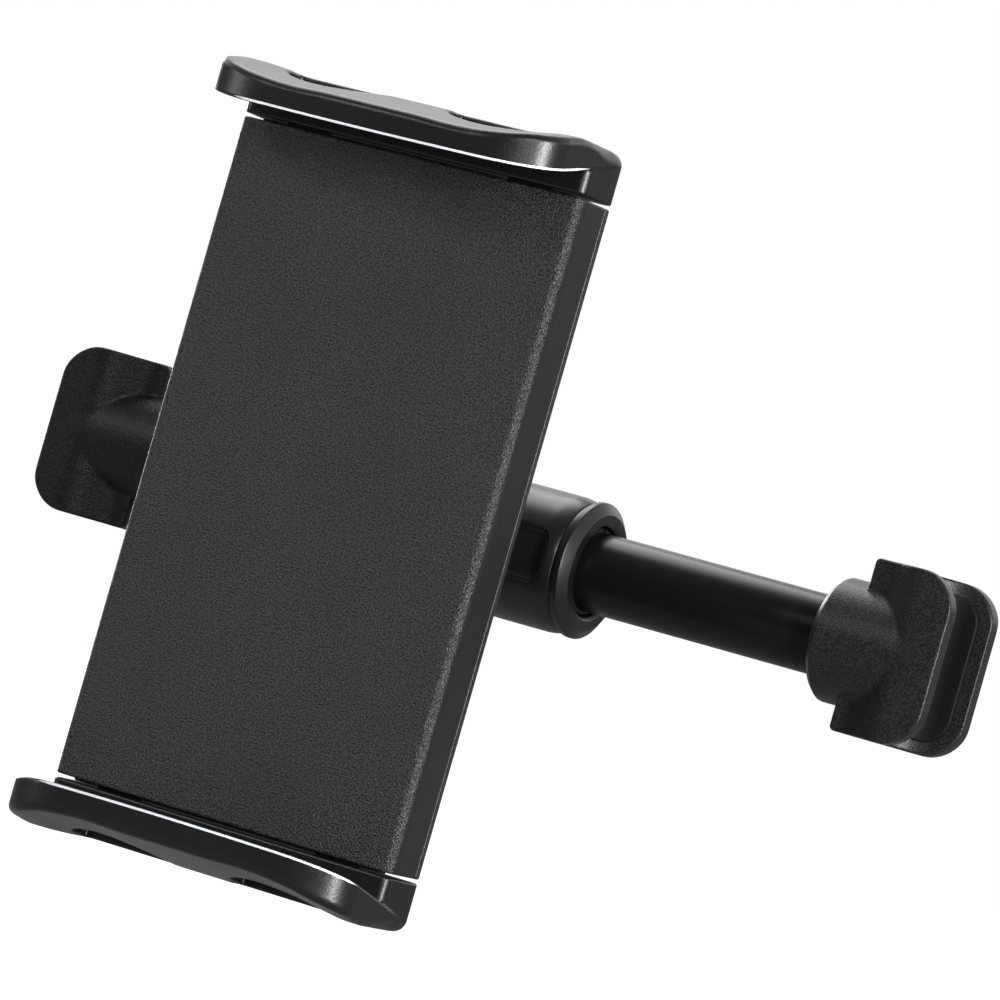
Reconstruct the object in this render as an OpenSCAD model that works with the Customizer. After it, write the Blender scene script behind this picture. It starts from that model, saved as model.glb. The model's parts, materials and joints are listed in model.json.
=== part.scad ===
// Phone and tablet holder for the two posts of a car headrest.
// X runs along the crossbar, -Y is the side that faces the passenger, +Z is up.
// The origin is the axis of the left headrest post, at the height of the crossbar.

/* [Headrest posts] */
// Distance between the axes of the two posts, as drawn
post_span = 177; // [150:1:186]
// Radius of the posts that the hooks take
post_r = 7; // [6:0.1:7.2]

/* [Hooks] */
// Height of a hook
hook_h = 31.4; // [26:0.2:38]
// How far the hook's two plates reach past the post axis
hook_reach = 4.6; // [3:0.2:8]
// Length of the hook's block on the bar's side of the post axis
hook_root = 11.9; // [11.4:0.1:14]
// Thickness of each plate of the fork
plate_t = 3.1; // [2.6:0.1:4]
// Depth that the flare takes off each side at the root
flare_d = 3.6; // [2:0.1:4.4]
// Radius of the plates' outer corners
hook_corner_r = 7.5; // [3:0.5:10]
// Drop of the root's edges below the plates' edges
root_drop = 0.7; // [0:0.1:1.5]
// Length of the round fitting past the root
fitting_len = 7.6; // [5:0.2:12]
// Length of the chamfer at the end of the fitting
fitting_chamfer = 1.3; // [0.6:0.1:2]
// Thickness of the rubber liner
liner_t = 1.2; // [0.8:0.1:1.6]
// Border of bare plate around the liner
liner_border = 2.4; // [1:0.2:4]
// Radius of the set screws
grub_r = 2; // [1.5:0.1:2.5]

/* [Crossbar] */
// Radius of the thick sleeve
sleeve_r = 12.6; // [12.2:0.1:14]
// Radius of the sliding rod
rod_r = 7.3; // [6.6:0.1:7.4]
// Wall of the sliding rod
rod_wall = 1.5; // [1:0.1:2.5]
// Wall of the sleeve's journal inside the collar
journal_wall = 1.7; // [1.4:0.1:1.9]
// Length of the rod inside the sleeve, as drawn
rod_inside = 30; // [22:1:34]
// Radial running clearance of the rod and of the collar
run_gap = 0.08; // [0.04:0.01:0.1]
// How far the rod can still slide in
travel_in = 46; // [20:1:47]
// How far the rod can slide out from the drawn place
travel_out = 14; // [4:1:16]

/* [Lock collar] */
// Length of the collar
collar_len = 14; // [12:0.5:20]
// Number of finger pockets
pocket_count = 3; // [2:1:4]
// Width of a finger pocket around the collar
pocket_w = 10; // [6:0.5:12]
// Length of a finger pocket
pocket_len = 9; // [6:0.5:10]
// Depth of a finger pocket
pocket_d = 2.3; // [1:0.1:2.4]
// Width of the cap's ring
cap_w = 2; // [1.5:0.1:3]
// Width of the neck between the collar and the cap's ring
neck_w = 1.2; // [0.6:0.1:2]
// Depth of the neck's groove
neck_d = 0.9; // [0.4:0.1:1.2]

/* [Ball joint] */
// Distance of the joint from the left post axis
joint_x = 82; // [70:1:84]
// Distance of the ball's centre in front of the bar's axis
ball_y = 35; // [34:0.5:40]
// Radius of the ball
ball_r = 8.5; // [7.5:0.1:9]
// Radius of the ball's stem
stem_r = 4; // [3:0.1:4.4]
// Radius of the sleeve's boss
boss_r = 7.5; // [6.5:0.1:7.8]
// Wall of the friction cup
cup_t = 1.7; // [1.2:0.1:2.2]
// Clearance around the ball and around the cup
ball_gap = 0.2; // [0.1:0.02:0.3]
// Wall of the socket around the cup
socket_wall = 2.5; // [2:0.1:3]
// Wall of the clamp nut
nut_wall = 3.6; // [3:0.1:4.4]
// Number of grip lobes on the clamp nut
lobe_count = 8; // [6:1:12]
// Width of the socket's square base
socket_w = 42; // [40:1:48]
// Thickness of the socket's base
socket_t = 3; // [2:0.2:4]

/* [Holder] */
// Width of the holder
holder_w = 70; // [66:1:84]
// Length of the front plate
holder_len = 120; // [110:1:140]
// Thickness of the holder
holder_t = 12.4; // [12.4:0.2:15]
// How far the rounded side takes off the front face's width
side_rx = 1.9; // [1:0.1:3]
// How far the rounded side reaches back from the front face
side_ry = 2.6; // [2:0.1:2.8]
// Wall of the two shells
wall = 2; // [1.6:0.1:2.4]
// Length of the front shell's side walls behind the rounding
skirt = 6.6; // [5:0.2:6.8]
// Radius of the back cover's edge
back_r = 2.5; // [1:0.5:3]

/* [Jaws] */
// Gap between the front plate and each closed jaw
jaw_gap = 0.7; // [0.4:0.1:1.2]
// Height of a jaw beyond the plate's end, at its back
jaw_h = 9.5; // [8.6:0.1:12]
// How far the lip stands in front of the plate
lip_reach = 19.5; // [16:0.5:26]
// Height of the lip's outer edge beyond the plate's end
lip_top = 5.9; // [5.2:0.1:7]
// Height of the lip's inner edge beyond the plate's end
lip_edge = 0.9; // [0.6:0.1:1.8]
// Thickness of the lip at its inner edge
lip_t = 2.2; // [1.6:0.1:3]
// Width of the lip's two round front corners, seen from above
lip_corner_w = 15; // [8:0.5:18]
// Depth of those corners, front to back
lip_corner_d = 9; // [5:0.5:11]
// Crown of the lip's front, seen from above
lip_crown = 0.8; // [0:0.1:2]
// Radius of the jaw's outer corners and back edge
end_round = 2.6; // [1:0.2:4]
// Length of each finger scoop, a half moon
scoop_len = 21; // [14:0.5:23]
// Distance of the scoops' middles from the jaw's middle
scoop_x = 16.4; // [13:0.1:18]
// Distance of the scoops' straight back sides behind the plate's face
scoop_back = 4.5; // [3:0.5:6]
// Depth of the finger scoops
scoop_d = 2.4; // [1:0.1:2.6]
// Thickness of the rubber pad
pad_t = 1; // [0.6:0.1:1.4]
// How far each jaw opens
jaw_travel = 45; // [20:1:46]

/* [Slides and springs] */
// Width of a slide's arm
arm_w = 8; // [6:0.5:9]
// Thickness of the slides
arm_t = 2.2; // [1.8:0.1:2.4]
// Distance of the arms' middles from the holder's sides
arm_inset = 12.5; // [11.5:0.5:14.5]
// Clearance of the slides in the holder
slide_gap = 0.3; // [0.2:0.05:0.4]
// Radius of the springs' coils
spring_r = 1.7; // [1.4:0.1:1.9]
// Radius of the springs' wire
wire_r = 0.4; // [0.3:0.05:0.5]
// Number of coils of a spring
spring_turns = 14; // [8:1:18]
// Radius of the small screws
screw_r = 1.2; // [1:0.1:1.4]

/* [Hidden] */
$fn = 64;
black = [0.11, 0.11, 0.12];
soft_black = [0.16, 0.16, 0.17];
rubber_black = [0.07, 0.07, 0.08];
steel = [0.7, 0.7, 0.72];

// Hook, measured inwards from the post axis
slot_r = post_r + liner_t;
fork_half = slot_r + plate_t;
fitting_r = fork_half;
fitting_end = hook_root + fitting_len + fitting_chamfer;
bore_start = slot_r + 4;
grub_u = hook_root + fitting_len / 2 + 0.6;
shoulder_u = 3.4;

// Crossbar, measured from the left post axis
bore_r = rod_r + run_gap;
rod_end = post_span - bore_start;
collar_x = joint_x + boss_r + 1.5;
collar_end = collar_x + collar_len;
cap_end = collar_end + neck_w + cap_w;
seam = 0.4;
journal_r = bore_r + journal_wall;
journal_end = collar_x + 7;
collet_x = journal_end + 0.3;
collet_nose_r = rod_r + 0.75;
collet_nose_x = collet_x + 5;
collet_end = cap_end - 0.9;
rod_start = collar_end - rod_inside;
sleeve_floor = rod_start - travel_in - 3.5;
guide_len = 8;

// Ball joint
cup_in = ball_r + ball_gap;
cup_out = cup_in + cup_t;
seat_r = cup_out + ball_gap;
socket_r = seat_r + socket_wall;
nut_in = socket_r + run_gap;
nut_out = nut_in + nut_wall;
cup_rim = 5;
nut_rim = 5.6;
boss_top = 19;
lock_nut_h = 3.6;

// Holder, y measured from the bar's axis
back_y = -(ball_y + 15);
face_y = back_y - holder_t;
holder_half = holder_w / 2;
end_z = holder_len / 2;
parting_y = face_y + side_ry + skirt;
inner_half = holder_half - wall;
arm_x = holder_half - arm_inset;
floor_y = back_y - wall;
arm_front = face_y + wall + slide_gap;
arm_back = arm_front + arm_t;
ledge_y = arm_back + slide_gap;
socket_screw_d = socket_w / 2 - 4;
cover_screw_x = inner_half - 2.5;
screw_post_r = 2.3;
cover_screw_z = holder_len * 0.4;
spring_x = 10;
spring_y = floor_y - spring_r - wire_r - 1;
bar_z = 2;
bar_h = 5;
lug_z = bar_z + bar_h / 2;
pin_z = end_z - 8;
tang_len = 5.6;
seal_h = jaw_gap - 0.25;
seal_half = holder_half - 4.5;
jaw_screw_z = end_z + jaw_gap + tang_len / 2 + 0.4;
head_h = 1.1;
socket_screw_len = 7;
cover_screw_len = 8;
pin_len = 6;

// Jaws, measured forward from the plate's face and outwards from its end
shelf = lip_top - 0.9;
shelf_rise = 0.2;
wall_tail = sqrt((jaw_h - shelf) / shelf_rise);
curl_start = 6;
curl_end = lip_reach - lip_t;
lip_chamfer = 0.8;
lip_round = 1.6;
pad_side = lip_corner_w - 4;

// Springs: straight pieces of wire to a coil, and the wire's sides
coil_steps = 10;
wire_sides = 5;

// Turns what is drawn along Z so that it runs along +X, or along +Y
module along_x() { rotate([0, 90, 0]) children(); }
module along_y() { rotate([-90, 0, 0]) children(); }

// Places what is drawn inwards from a post at the right post
module at_right() { translate([post_span, 0, 0]) mirror([1, 0, 0]) children(); }

// Moves what belongs to the holder to the joint
module at_holder() { translate([joint_x, 0, 0]) children(); }

// A plain straight drill along Y at x and z
module drill_y(x, z, r, y1, y2) { translate([x, y1, z]) along_y() cylinder(r = r, h = y2 - y1); }

// Half depth of the hook's block at u: the flare falls in a smooth S from the plates to the root
function ease(t) = t <= 0 ? 0 : t >= 1 ? 1 : t * t * (3 - 2 * t);
function fork_depth(u) = fork_half - flare_d * ease((u - shoulder_u) / (hook_root - shoulder_u));

// The block seen from above: plates with rounded ends, then the flare
module fork_plan() {
    steps = 16;
    tip = plate_t * 0.32;
    side = [for (i = [0 : steps])
        let (u = shoulder_u + (hook_root - shoulder_u) * i / steps) [u, fork_depth(u)]];
    edge = [for (a = [180 : -15 : 90]) [-hook_reach + tip + tip * cos(a), fork_half - tip + tip * sin(a)]];
    half = concat(edge, side);
    polygon(concat(half, [for (i = [len(half) - 1 : -1 : 0]) [half[i][0], -half[i][1]]]));
}

// The block seen from the front: large outer corners, small inner ones, and a slight drop to the root
module fork_face(inset) {
    r = hook_corner_r - inset;
    h = hook_h / 2 - inset;
    arc = [for (a = [180 : -9 : 90]) [-hook_reach + inset + r + r * cos(a), h - r + r * sin(a)]];
    top = concat(arc, [[shoulder_u, h], [hook_root - 1, h - root_drop], [hook_root, h - root_drop - 1]]);
    polygon(concat(top, [for (i = [len(top) - 1 : -1 : 0]) [top[i][0], -top[i][1]]]));
}

// The slot for the post: a half round with straight flanks towards the open side
module post_slot(r, h) {
    translate([0, 0, -h / 2]) cylinder(r = r, h = h);
    translate([-hook_reach - 2, -r, -h / 2]) cube([hook_reach + 2, 2 * r, h]);
}

module hook_block() {
    difference() {
        union() {
            intersection() {
                translate([0, 0, -hook_h / 2]) linear_extrude(hook_h) fork_plan();
                translate([0, fork_half, 0]) rotate([90, 0, 0]) linear_extrude(2 * fork_half) fork_face(0);
            }
            along_x() cylinder(r = fitting_r, h = hook_root + fitting_len);
            translate([hook_root + fitting_len, 0, 0]) along_x()
                cylinder(r1 = fitting_r, r2 = fitting_r - fitting_chamfer, h = fitting_chamfer);
        }
        post_slot(slot_r, hook_h + 2);
        translate([bore_start, 0, 0]) along_x() cylinder(r = rod_r, h = fitting_end);
        drill_y(grub_u, 0, grub_r, 0, fitting_r + 1);
    }
}

module hook_liner() {
    border = hook_h - 2 * liner_border;
    intersection() {
        difference() {
            post_slot(slot_r, border);
            post_slot(post_r, border + 2);
        }
        translate([0, fork_half, 0]) rotate([90, 0, 0]) linear_extrude(2 * fork_half) fork_face(liner_border);
    }
}

module hook_screw() {
    difference() {
        translate([grub_u, rod_r, 0]) along_y() cylinder(r = grub_r, h = fitting_r - rod_r - 0.8);
        translate([grub_u, fitting_r - 2.4, 0]) along_y() cylinder(r = grub_r * 0.55, h = 2, $fn = 6);
    }
}

module left_hook() { color(black) hook_block(); }
module left_hook_liner() { color(rubber_black) hook_liner(); }
module left_hook_screw() { color(steel) hook_screw(); }
module right_hook() { color(black) at_right() hook_block(); }
module right_hook_liner() { color(rubber_black) at_right() hook_liner(); }
module right_hook_screw() { color(steel) at_right() hook_screw(); }

// Thick sleeve: spigot into the left hook, body, journal for the collar and boss for the ball's stem
module outer_sleeve() {
    color(black) difference() {
        union() {
            translate([bore_start, 0, 0]) along_x() cylinder(r = rod_r, h = fitting_end);
            translate([fitting_end, 0, 0]) along_x() rotate_extrude() polygon([
                [0, 0], [sleeve_r - 1, 0], [sleeve_r, 1], [sleeve_r, collar_x - seam - fitting_end],
                [journal_r, collar_x - seam - fitting_end], [journal_r, journal_end - fitting_end],
                [0, journal_end - fitting_end]]);
            // The boss stands on a cone that blends it into the sleeve
            translate([joint_x, -boss_top, 0]) along_y() rotate_extrude() polygon([
                [0, 0], [boss_r - 0.8, 0], [boss_r, 0.8], [boss_r, 7], [boss_r + 1.4, boss_top - 9],
                [0, boss_top - 9]]);
        }
        translate([sleeve_floor, 0, 0]) along_x() cylinder(r = bore_r, h = post_span);
        drill_y(joint_x, 0, 3, -boss_top - 1, -sleeve_r + 2.4);
    }
}

// Slotted collet: the collar's cone presses it on the rod
module clamp_collet() {
    color(soft_black) difference() {
        translate([collet_x, 0, 0]) along_x() rotate_extrude() polygon([
            [bore_r, 0], [journal_r - 0.2, 0], [journal_r - 0.2, 1.6],
            [collet_nose_r, collet_nose_x - collet_x],
            [collet_nose_r, collet_end - collet_x - 0.3], [collet_nose_r - 0.3, collet_end - collet_x],
            [bore_r, collet_end - collet_x]]);
        for (a = [0 : 120 : 240]) rotate([a, 0, 0])
            translate([collet_x + 1.5, -0.5, 0]) cube([collet_end, 1, journal_r + 1]);
    }
}

module ball_stud() {
    color(steel) union() {
        translate([joint_x, -ball_y, 0]) sphere(r = ball_r);
        translate([joint_x, -ball_y, 0]) along_y() cylinder(r = stem_r, h = ball_y - boss_top);
        translate([joint_x, -boss_top - 1, 0]) along_y() cylinder(r = 2.95, h = boss_top - sleeve_r + 3);
    }
}

module stud_lock_nut() {
    color(steel) difference() {
        translate([joint_x, -boss_top - lock_nut_h, 0]) along_y() cylinder(r = 7.2, h = lock_nut_h, $fn = 6);
        drill_y(joint_x, 0, stem_r + 0.03, -boss_top - lock_nut_h - 1, -boss_top + 1);
    }
}

// One finger pocket: a rounded oblong with a flat floor, cut from outside
module finger_pocket() {
    r = 2;
    x = collar_end - 2 - pocket_len;
    floor_r = sleeve_r - pocket_d;
    translate([0, -floor_r, 0]) rotate([90, 0, 0]) linear_extrude(pocket_d + 2)
        hull() for (i = [x + r, x + pocket_len - r], k = [-1, 1])
            translate([i, k * (pocket_w / 2 - r)]) circle(r = r, $fn = 32);
}

module lock_collar() {
    inner = journal_r + run_gap;
    color(black) difference() {
        translate([collar_x, 0, 0]) along_x() rotate_extrude() polygon([
            [inner, 0], [sleeve_r - 0.5, 0], [sleeve_r, 0.5], [sleeve_r, collar_len - 0.8],
            [sleeve_r - 0.8, collar_len], [sleeve_r - neck_d - 1.6, collar_len],
            [sleeve_r - neck_d - 1.6, collar_len - 2], [collet_nose_r + 0.5, collar_len - 2],
            [inner, collet_x - collar_x + 1.6]]);
        for (i = [0 : pocket_count - 1]) rotate([i * 360 / pocket_count, 0, 0]) finger_pocket();
    }
}

// End cap: a plug in the collar, a narrow neck and a ring with a rounded outer edge
module collar_cap() {
    in_r = collet_nose_r + 0.35;
    plug_r = sleeve_r - neck_d - 1.6;
    neck_r = sleeve_r - neck_d;
    color(black) translate([collar_end, 0, 0]) along_x() rotate_extrude() polygon(concat(
        [[in_r, -2], [plug_r, -2], [plug_r, 0], [neck_r, 0], [neck_r, neck_w], [sleeve_r, neck_w]],
        [for (a = [0 : 15 : 90]) [sleeve_r - 1.2 + 1.2 * cos(a), neck_w + cap_w - 1.5 + 1.5 * sin(a)]],
        [[in_r + 0.5, neck_w + cap_w], [in_r, neck_w + cap_w - 0.5]]));
}

module inner_rod() {
    color(soft_black) difference() {
        translate([rod_start, 0, 0]) along_x() cylinder(r = rod_r, h = rod_end - rod_start);
        translate([rod_start - 1, 0, 0]) along_x()
            cylinder(r = rod_r - rod_wall, h = rod_end - rod_start + 2);
    }
}

// Guide on the rod's inner end: a plug in the tube and a collar in the sleeve's bore
module rod_guide() {
    color(soft_black) union() {
        translate([rod_start, 0, 0]) along_x() cylinder(r = rod_r - rod_wall, h = guide_len);
        translate([rod_start - 2.5, 0, 0]) along_x() cylinder(r1 = rod_r - 0.6, r2 = rod_r, h = 0.6);
        translate([rod_start - 1.9, 0, 0]) along_x() cylinder(r = rod_r, h = 1.9);
    }
}

// Friction cup: a slotted ball shell, open towards the stem
module friction_cup() {
    color(rubber_black) translate([joint_x, -ball_y, 0]) difference() {
        along_y() rotate_extrude() difference() {
            circle(r = cup_out);
            circle(r = cup_in);
            translate([-cup_out * 2, -cup_out]) square([cup_out * 2, cup_out * 2]);
            translate([-cup_out, cup_rim]) square([cup_out * 2, cup_out]);
        }
        for (a = [0 : 90 : 270]) rotate([0, a, 0])
            translate([-0.5, -cup_out * 0.2, 0]) cube([1, cup_out * 2, cup_out + 1]);
    }
}

// Clamp nut: threaded on the socket, seated on the cup, with scalloped grip lobes
module clamp_nut() {
    long = 11.4;
    color(black) translate([joint_x, -ball_y, 0]) difference() {
        translate([0, -long, 0]) along_y() rotate_extrude() polygon([
            [0, 0], [nut_out - 0.8, 0], [nut_out, 0.8], [nut_out, long + nut_rim - 3.5],
            [nut_out - 3, long + nut_rim], [0, long + nut_rim]]);
        translate([0, -long - 1, 0]) along_y() cylinder(r = nut_in, h = long + 1);
        sphere(r = seat_r);
        along_y() cylinder(r1 = seat_r * 0.84, r2 = seat_r * 0.96, h = nut_rim + 1);
        for (i = [0 : lobe_count - 1]) rotate([0, (i + 0.5) * 360 / lobe_count, 0])
            translate([nut_out + 2.2, -long - 1, 0]) along_y() cylinder(r = 3.4, h = long + nut_rim + 2);
    }
}

// Rounded square, seen along Y
module rounded_square(w, r) {
    hull() for (i = [-1, 1], k = [-1, 1])
        translate([i * (w / 2 - r), k * (w / 2 - r)]) circle(r = r, $fn = 32);
}

// Socket: square base on the back cover and a round threaded neck with the cup's seat
module socket_base() {
    neck = -ball_y - back_y - socket_t;
    color(black) at_holder() difference() {
        union() {
            translate([0, back_y + socket_t, 0]) rotate([90, 0, 0]) linear_extrude(socket_t)
                rounded_square(socket_w, 6);
            translate([0, back_y, 0]) along_y() cylinder(r = socket_r, h = socket_t + neck);
        }
        translate([0, -ball_y, 0]) sphere(r = seat_r);
        for (i = [-1, 1], k = [-1, 1]) {
            x = i * socket_screw_d;
            z = k * socket_screw_d;
            drill_y(x, z, screw_r + 0.05, back_y - 1, back_y + socket_t + 1);
            drill_y(x, z, screw_r * 2, back_y + socket_t - 1.2, back_y + socket_t + 1);
        }
    }
}

// A small screw whose head lies at y and whose tip points to -Y
module small_screw(x, z, y, long) {
    translate([x, y - long, z]) along_y() cylinder(r = screw_r, h = long);
    difference() {
        translate([x, y - head_h, z]) along_y() cylinder(r = screw_r * 1.9, h = head_h);
        for (a = [0, 90]) translate([x, y, z]) rotate([0, a, 0])
            cube([screw_r * 2.2, 1.2, 0.5], center = true);
    }
}

module socket_screws() {
    color(steel) at_holder() for (i = [-1, 1], k = [-1, 1])
        small_screw(i * socket_screw_d, k * socket_screw_d, back_y + socket_t - 0.1, socket_screw_len);
}

// Half outline of the holder's front shell, seen along its length: flat face, rounded side, short skirt
function side_curve(inset) = let (rx = max(side_rx - inset, 0.3), ry = max(side_ry - inset, 0.3))
    [for (a = [90 : -10 : 0])
        [holder_half - inset - rx + rx * cos(a), face_y + inset + ry - ry * sin(a)]];

module shell_section(inset, back) {
    front = [holder_half - side_rx - 1, face_y + inset];
    side = concat([front], side_curve(inset), [[holder_half - inset, back]]);
    polygon(concat(side, [for (i = [len(side) - 1 : -1 : 0]) [-side[i][0], side[i][1]]]));
}

module front_plate() {
    color(soft_black) at_holder() difference() {
        union() {
            difference() {
                translate([0, 0, -end_z]) linear_extrude(holder_len) shell_section(0, parting_y);
                translate([0, 0, -end_z - 1]) linear_extrude(holder_len + 2)
                    shell_section(wall, parting_y + 1);
            }
            for (i = [-1, 1], k = [-1, 1])
                drill_y(i * cover_screw_x, k * cover_screw_z, screw_post_r,
                    face_y + wall - 0.5, floor_y - 0.1);
        }
        for (i = [-1, 1], k = [-1, 1])
            drill_y(i * cover_screw_x, k * cover_screw_z, screw_r + 0.05, face_y + wall + 1, floor_y + 1);
    }
}

// Section of the back cover, seen along its length, with rounded back edges
module cover_section() {
    edge = [for (a = [0 : 15 : 90])
        [holder_half - back_r + back_r * cos(a), back_y - back_r + back_r * sin(a)]];
    half = concat([[holder_half, parting_y]], edge);
    polygon(concat(half, [for (i = [len(half) - 1 : -1 : 0]) [-half[i][0], half[i][1]]]));
}

module back_cover() {
    arm_out = arm_x + arm_w / 2 + slide_gap;
    color(black) at_holder() difference() {
        union() {
            difference() {
                translate([0, 0, -end_z]) linear_extrude(holder_len) cover_section();
                translate([-inner_half + 0.2, parting_y - 1, -end_z + wall])
                    cube([2 * inner_half - 0.4, floor_y - parting_y + 1, holder_len - 2 * wall]);
            }
            // Lip that locates the front shell
            for (i = [-1, 1]) translate([i * (inner_half - 0.7) - 0.5, parting_y - 1.5, -end_z + wall])
                cube([1, 2, holder_len - 2 * wall]);
            // End walls
            for (k = [-1, 1])
                translate([-inner_half + 1, face_y + wall + 0.2, k * (end_z - wall / 2) - wall / 2])
                    cube([2 * inner_half - 2, back_y - face_y - wall - 1, wall]);
            // Low ridges that close the gap to the jaws, short of its ends
            for (k = [-1, 1])
                translate([-seal_half, face_y + wall + 0.2, k > 0 ? end_z - 1 : -end_z - seal_h])
                    cube([2 * seal_half, 2.4, 1 + seal_h]);
            // Ledges that carry the arms, and ribs that guide them
            for (i = [-1, 1]) {
                translate([i * arm_x - 1.5, ledge_y, -end_z + wall / 2])
                    cube([3, floor_y - ledge_y + 0.5, holder_len - wall]);
                translate([i * (arm_out + 0.4) - 0.4, ledge_y - arm_t, -end_z + wall / 2])
                    cube([0.8, floor_y - ledge_y + arm_t + 0.5, holder_len - wall]);
            }
            for (i = [-1, 1], k = [-1, 1])
                drill_y(i * socket_screw_d, k * socket_screw_d, 2.5, floor_y - 4, floor_y + 0.5);
        }
        // Ways out for the arms
        for (i = [-1, 1], k = [-1, 1])
            translate([i * arm_x - arm_w / 2 - slide_gap, face_y + wall, k * end_z - wall * 1.5])
                cube([arm_w + 2 * slide_gap, ledge_y - face_y - wall, wall * 3]);
        for (i = [-1, 1], k = [-1, 1]) {
            drill_y(i * cover_screw_x, k * cover_screw_z, screw_post_r + 0.2, face_y, floor_y);
            drill_y(i * cover_screw_x, k * cover_screw_z, screw_r + 0.05, floor_y - 1, back_y + 1);
            drill_y(i * cover_screw_x, k * cover_screw_z, screw_r * 2, back_y - 1.2, back_y + 1);
            drill_y(i * socket_screw_d, k * socket_screw_d, screw_r + 0.05, floor_y - 5, back_y + 1);
            drill_y(i * spring_x * k, k * pin_z, 1.25, floor_y - 1, back_y - 0.8);
        }
    }
}

module cover_screws() {
    color(steel) at_holder() for (i = [-1, 1], k = [-1, 1])
        small_screw(i * cover_screw_x, k * cover_screw_z, back_y - 0.1, cover_screw_len);
}

module spring_pins() {
    color(steel) at_holder() for (k = [-1, 1])
        translate([k * spring_x, back_y - 1 - pin_len, k * pin_z]) along_y() union() {
            cylinder(r = 1.2, h = pin_len);
            cylinder(r = 2, h = 0.8);
        }
}

// Underside of the jaw's wall above the plate's end, at a distance f in front of the plate's face:
// it rises behind the face, runs level over the device's edge and curls down to the lip's inner edge
function shelf_z(f) = f < 0 ? shelf + shelf_rise * f * f : f < curl_start ? shelf
    : shelf - (shelf - lip_edge) * (1 - sqrt(max(0, 1 - pow((f - curl_start) / (curl_end - curl_start), 2))));
function curl_point(a) = let (f = curl_start + (curl_end - curl_start) * sin(a)) [f, shelf_z(f)];

// The curled wall seen from the side, as points [front distance, height]: underside behind the face,
// slanted lower side, rounded front edge, and the outer face that slopes up to the crest
function wall_profile() = concat(
    [for (i = [6 : -1 : 1]) let (f = -wall_tail * i / 6) [f, shelf_z(f)]],
    [[0, shelf], [lip_reach - lip_chamfer, lip_edge], [lip_reach, lip_edge + lip_chamfer]],
    [for (a = [0 : 15 : 75])
        [lip_reach - lip_round + lip_round * cos(a), lip_top - lip_round + lip_round * sin(a)]],
    [[0, jaw_h]]);

// The curled wall seen from above: straight sides, large round corners and a crowned front
module wall_plan(inset) {
    cx = holder_half - lip_corner_w;
    cf = lip_reach - lip_crown - lip_corner_d;
    arc = [for (a = [0 : 9 : 81])
        [cx + (lip_corner_w - inset) * cos(a), cf + (lip_corner_d - inset) * sin(a)]];
    crown = [for (i = [0 : 6]) let (x = cx * (1 - i / 6))
        [x, lip_reach - inset - lip_crown * pow(x / cx, 2)]];
    half = concat([[holder_half - inset, -wall_tail - 1]], arc, crown);
    polygon(concat(half, [for (i = [len(half) - 2 : -1 : 0]) [-half[i][0], half[i][1]]]));
}

// Draws a profile of points [front distance, height] across the whole jaw
module across_jaw(points) {
    translate([-holder_half - 1, 0, 0]) rotate([90, 0, 90]) linear_extrude(holder_w + 2) polygon(points);
}

// The channel for the device's edge: level under the shelf, then curled down inside the lip
module lip_channel() {
    intersection() {
        linear_extrude(jaw_h) wall_plan(lip_t);
        across_jaw(concat([[-wall_tail, 0], [-wall_tail, shelf]],
            [for (a = [0 : 10 : 90]) curl_point(a)], [[curl_end, 0]]));
    }
}

// Drawn with the front along +Y and turned to -Y in place
module jaw_wall() {
    translate([0, face_y, 0]) mirror([0, 1, 0]) difference() {
        intersection() {
            linear_extrude(jaw_h + 1) wall_plan(0);
            across_jaw(wall_profile());
        }
        lip_channel();
    }
}

// One finger scoop: a half moon open at the crest, with its straight side at the back
module finger_scoop() {
    r = scoop_len / 2;
    y = face_y + scoop_back;
    intersection() {
        translate([0, y, jaw_h - scoop_d]) cylinder(r = r, h = scoop_d + 1);
        translate([-r - 1, y - r - 1, 0]) cube([2 * r + 2, r + 1, jaw_h + 1]);
    }
}

// The jaw seen from the front: round outer corners
module end_face() {
    r = end_round;
    arc = [for (a = [0 : 15 : 90]) [holder_half - r + r * cos(a), jaw_h - r + r * sin(a)]];
    half = concat([[holder_half, 0]], arc);
    polygon(concat(half, [for (i = [len(half) - 1 : -1 : 0]) [-half[i][0], half[i][1]]]));
}

// The jaw seen from the side: round back edge
module end_side() {
    r = end_round;
    front = face_y - lip_reach - 1;
    arc = [for (a = [0 : 15 : 90]) [back_y - r + r * cos(a), jaw_h - r + r * sin(a)]];
    polygon(concat([[front, 0], [back_y, 0]], arc, [[front, jaw_h]]));
}

// Base bar with the holder's section, and the wall in front of it
module jaw_block() {
    intersection() {
        union() {
            jaw_wall();
            translate([0, 0, jaw_gap]) linear_extrude(jaw_h - jaw_gap) union() {
                shell_section(0, parting_y);
                cover_section();
            }
        }
        translate([0, back_y + 1, 0]) rotate([90, 0, 0]) linear_extrude(holder_t + lip_reach + 2) end_face();
        translate([-holder_half - 1, 0, 0]) rotate([90, 0, 90]) linear_extrude(holder_w + 2) end_side();
    }
}

module jaw_body() {
    color(black) at_holder() translate([0, 0, end_z]) difference() {
        jaw_block();
        for (i = [-1, 1]) {
            translate([i * scoop_x, 0, 0]) finger_scoop();
            // Socket for the slide's tang
            translate([i * arm_x - arm_w / 2 - 0.05, arm_front - 0.05, 0])
                cube([arm_w + 0.1, arm_t + 0.1, jaw_gap + tang_len]);
            drill_y(i * arm_x, jaw_screw_z - end_z, screw_r + 0.05, arm_front - 1, back_y + 1);
            drill_y(i * arm_x, jaw_screw_z - end_z, screw_r * 2, back_y - 1.2, back_y + 1);
        }
    }
}

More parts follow.
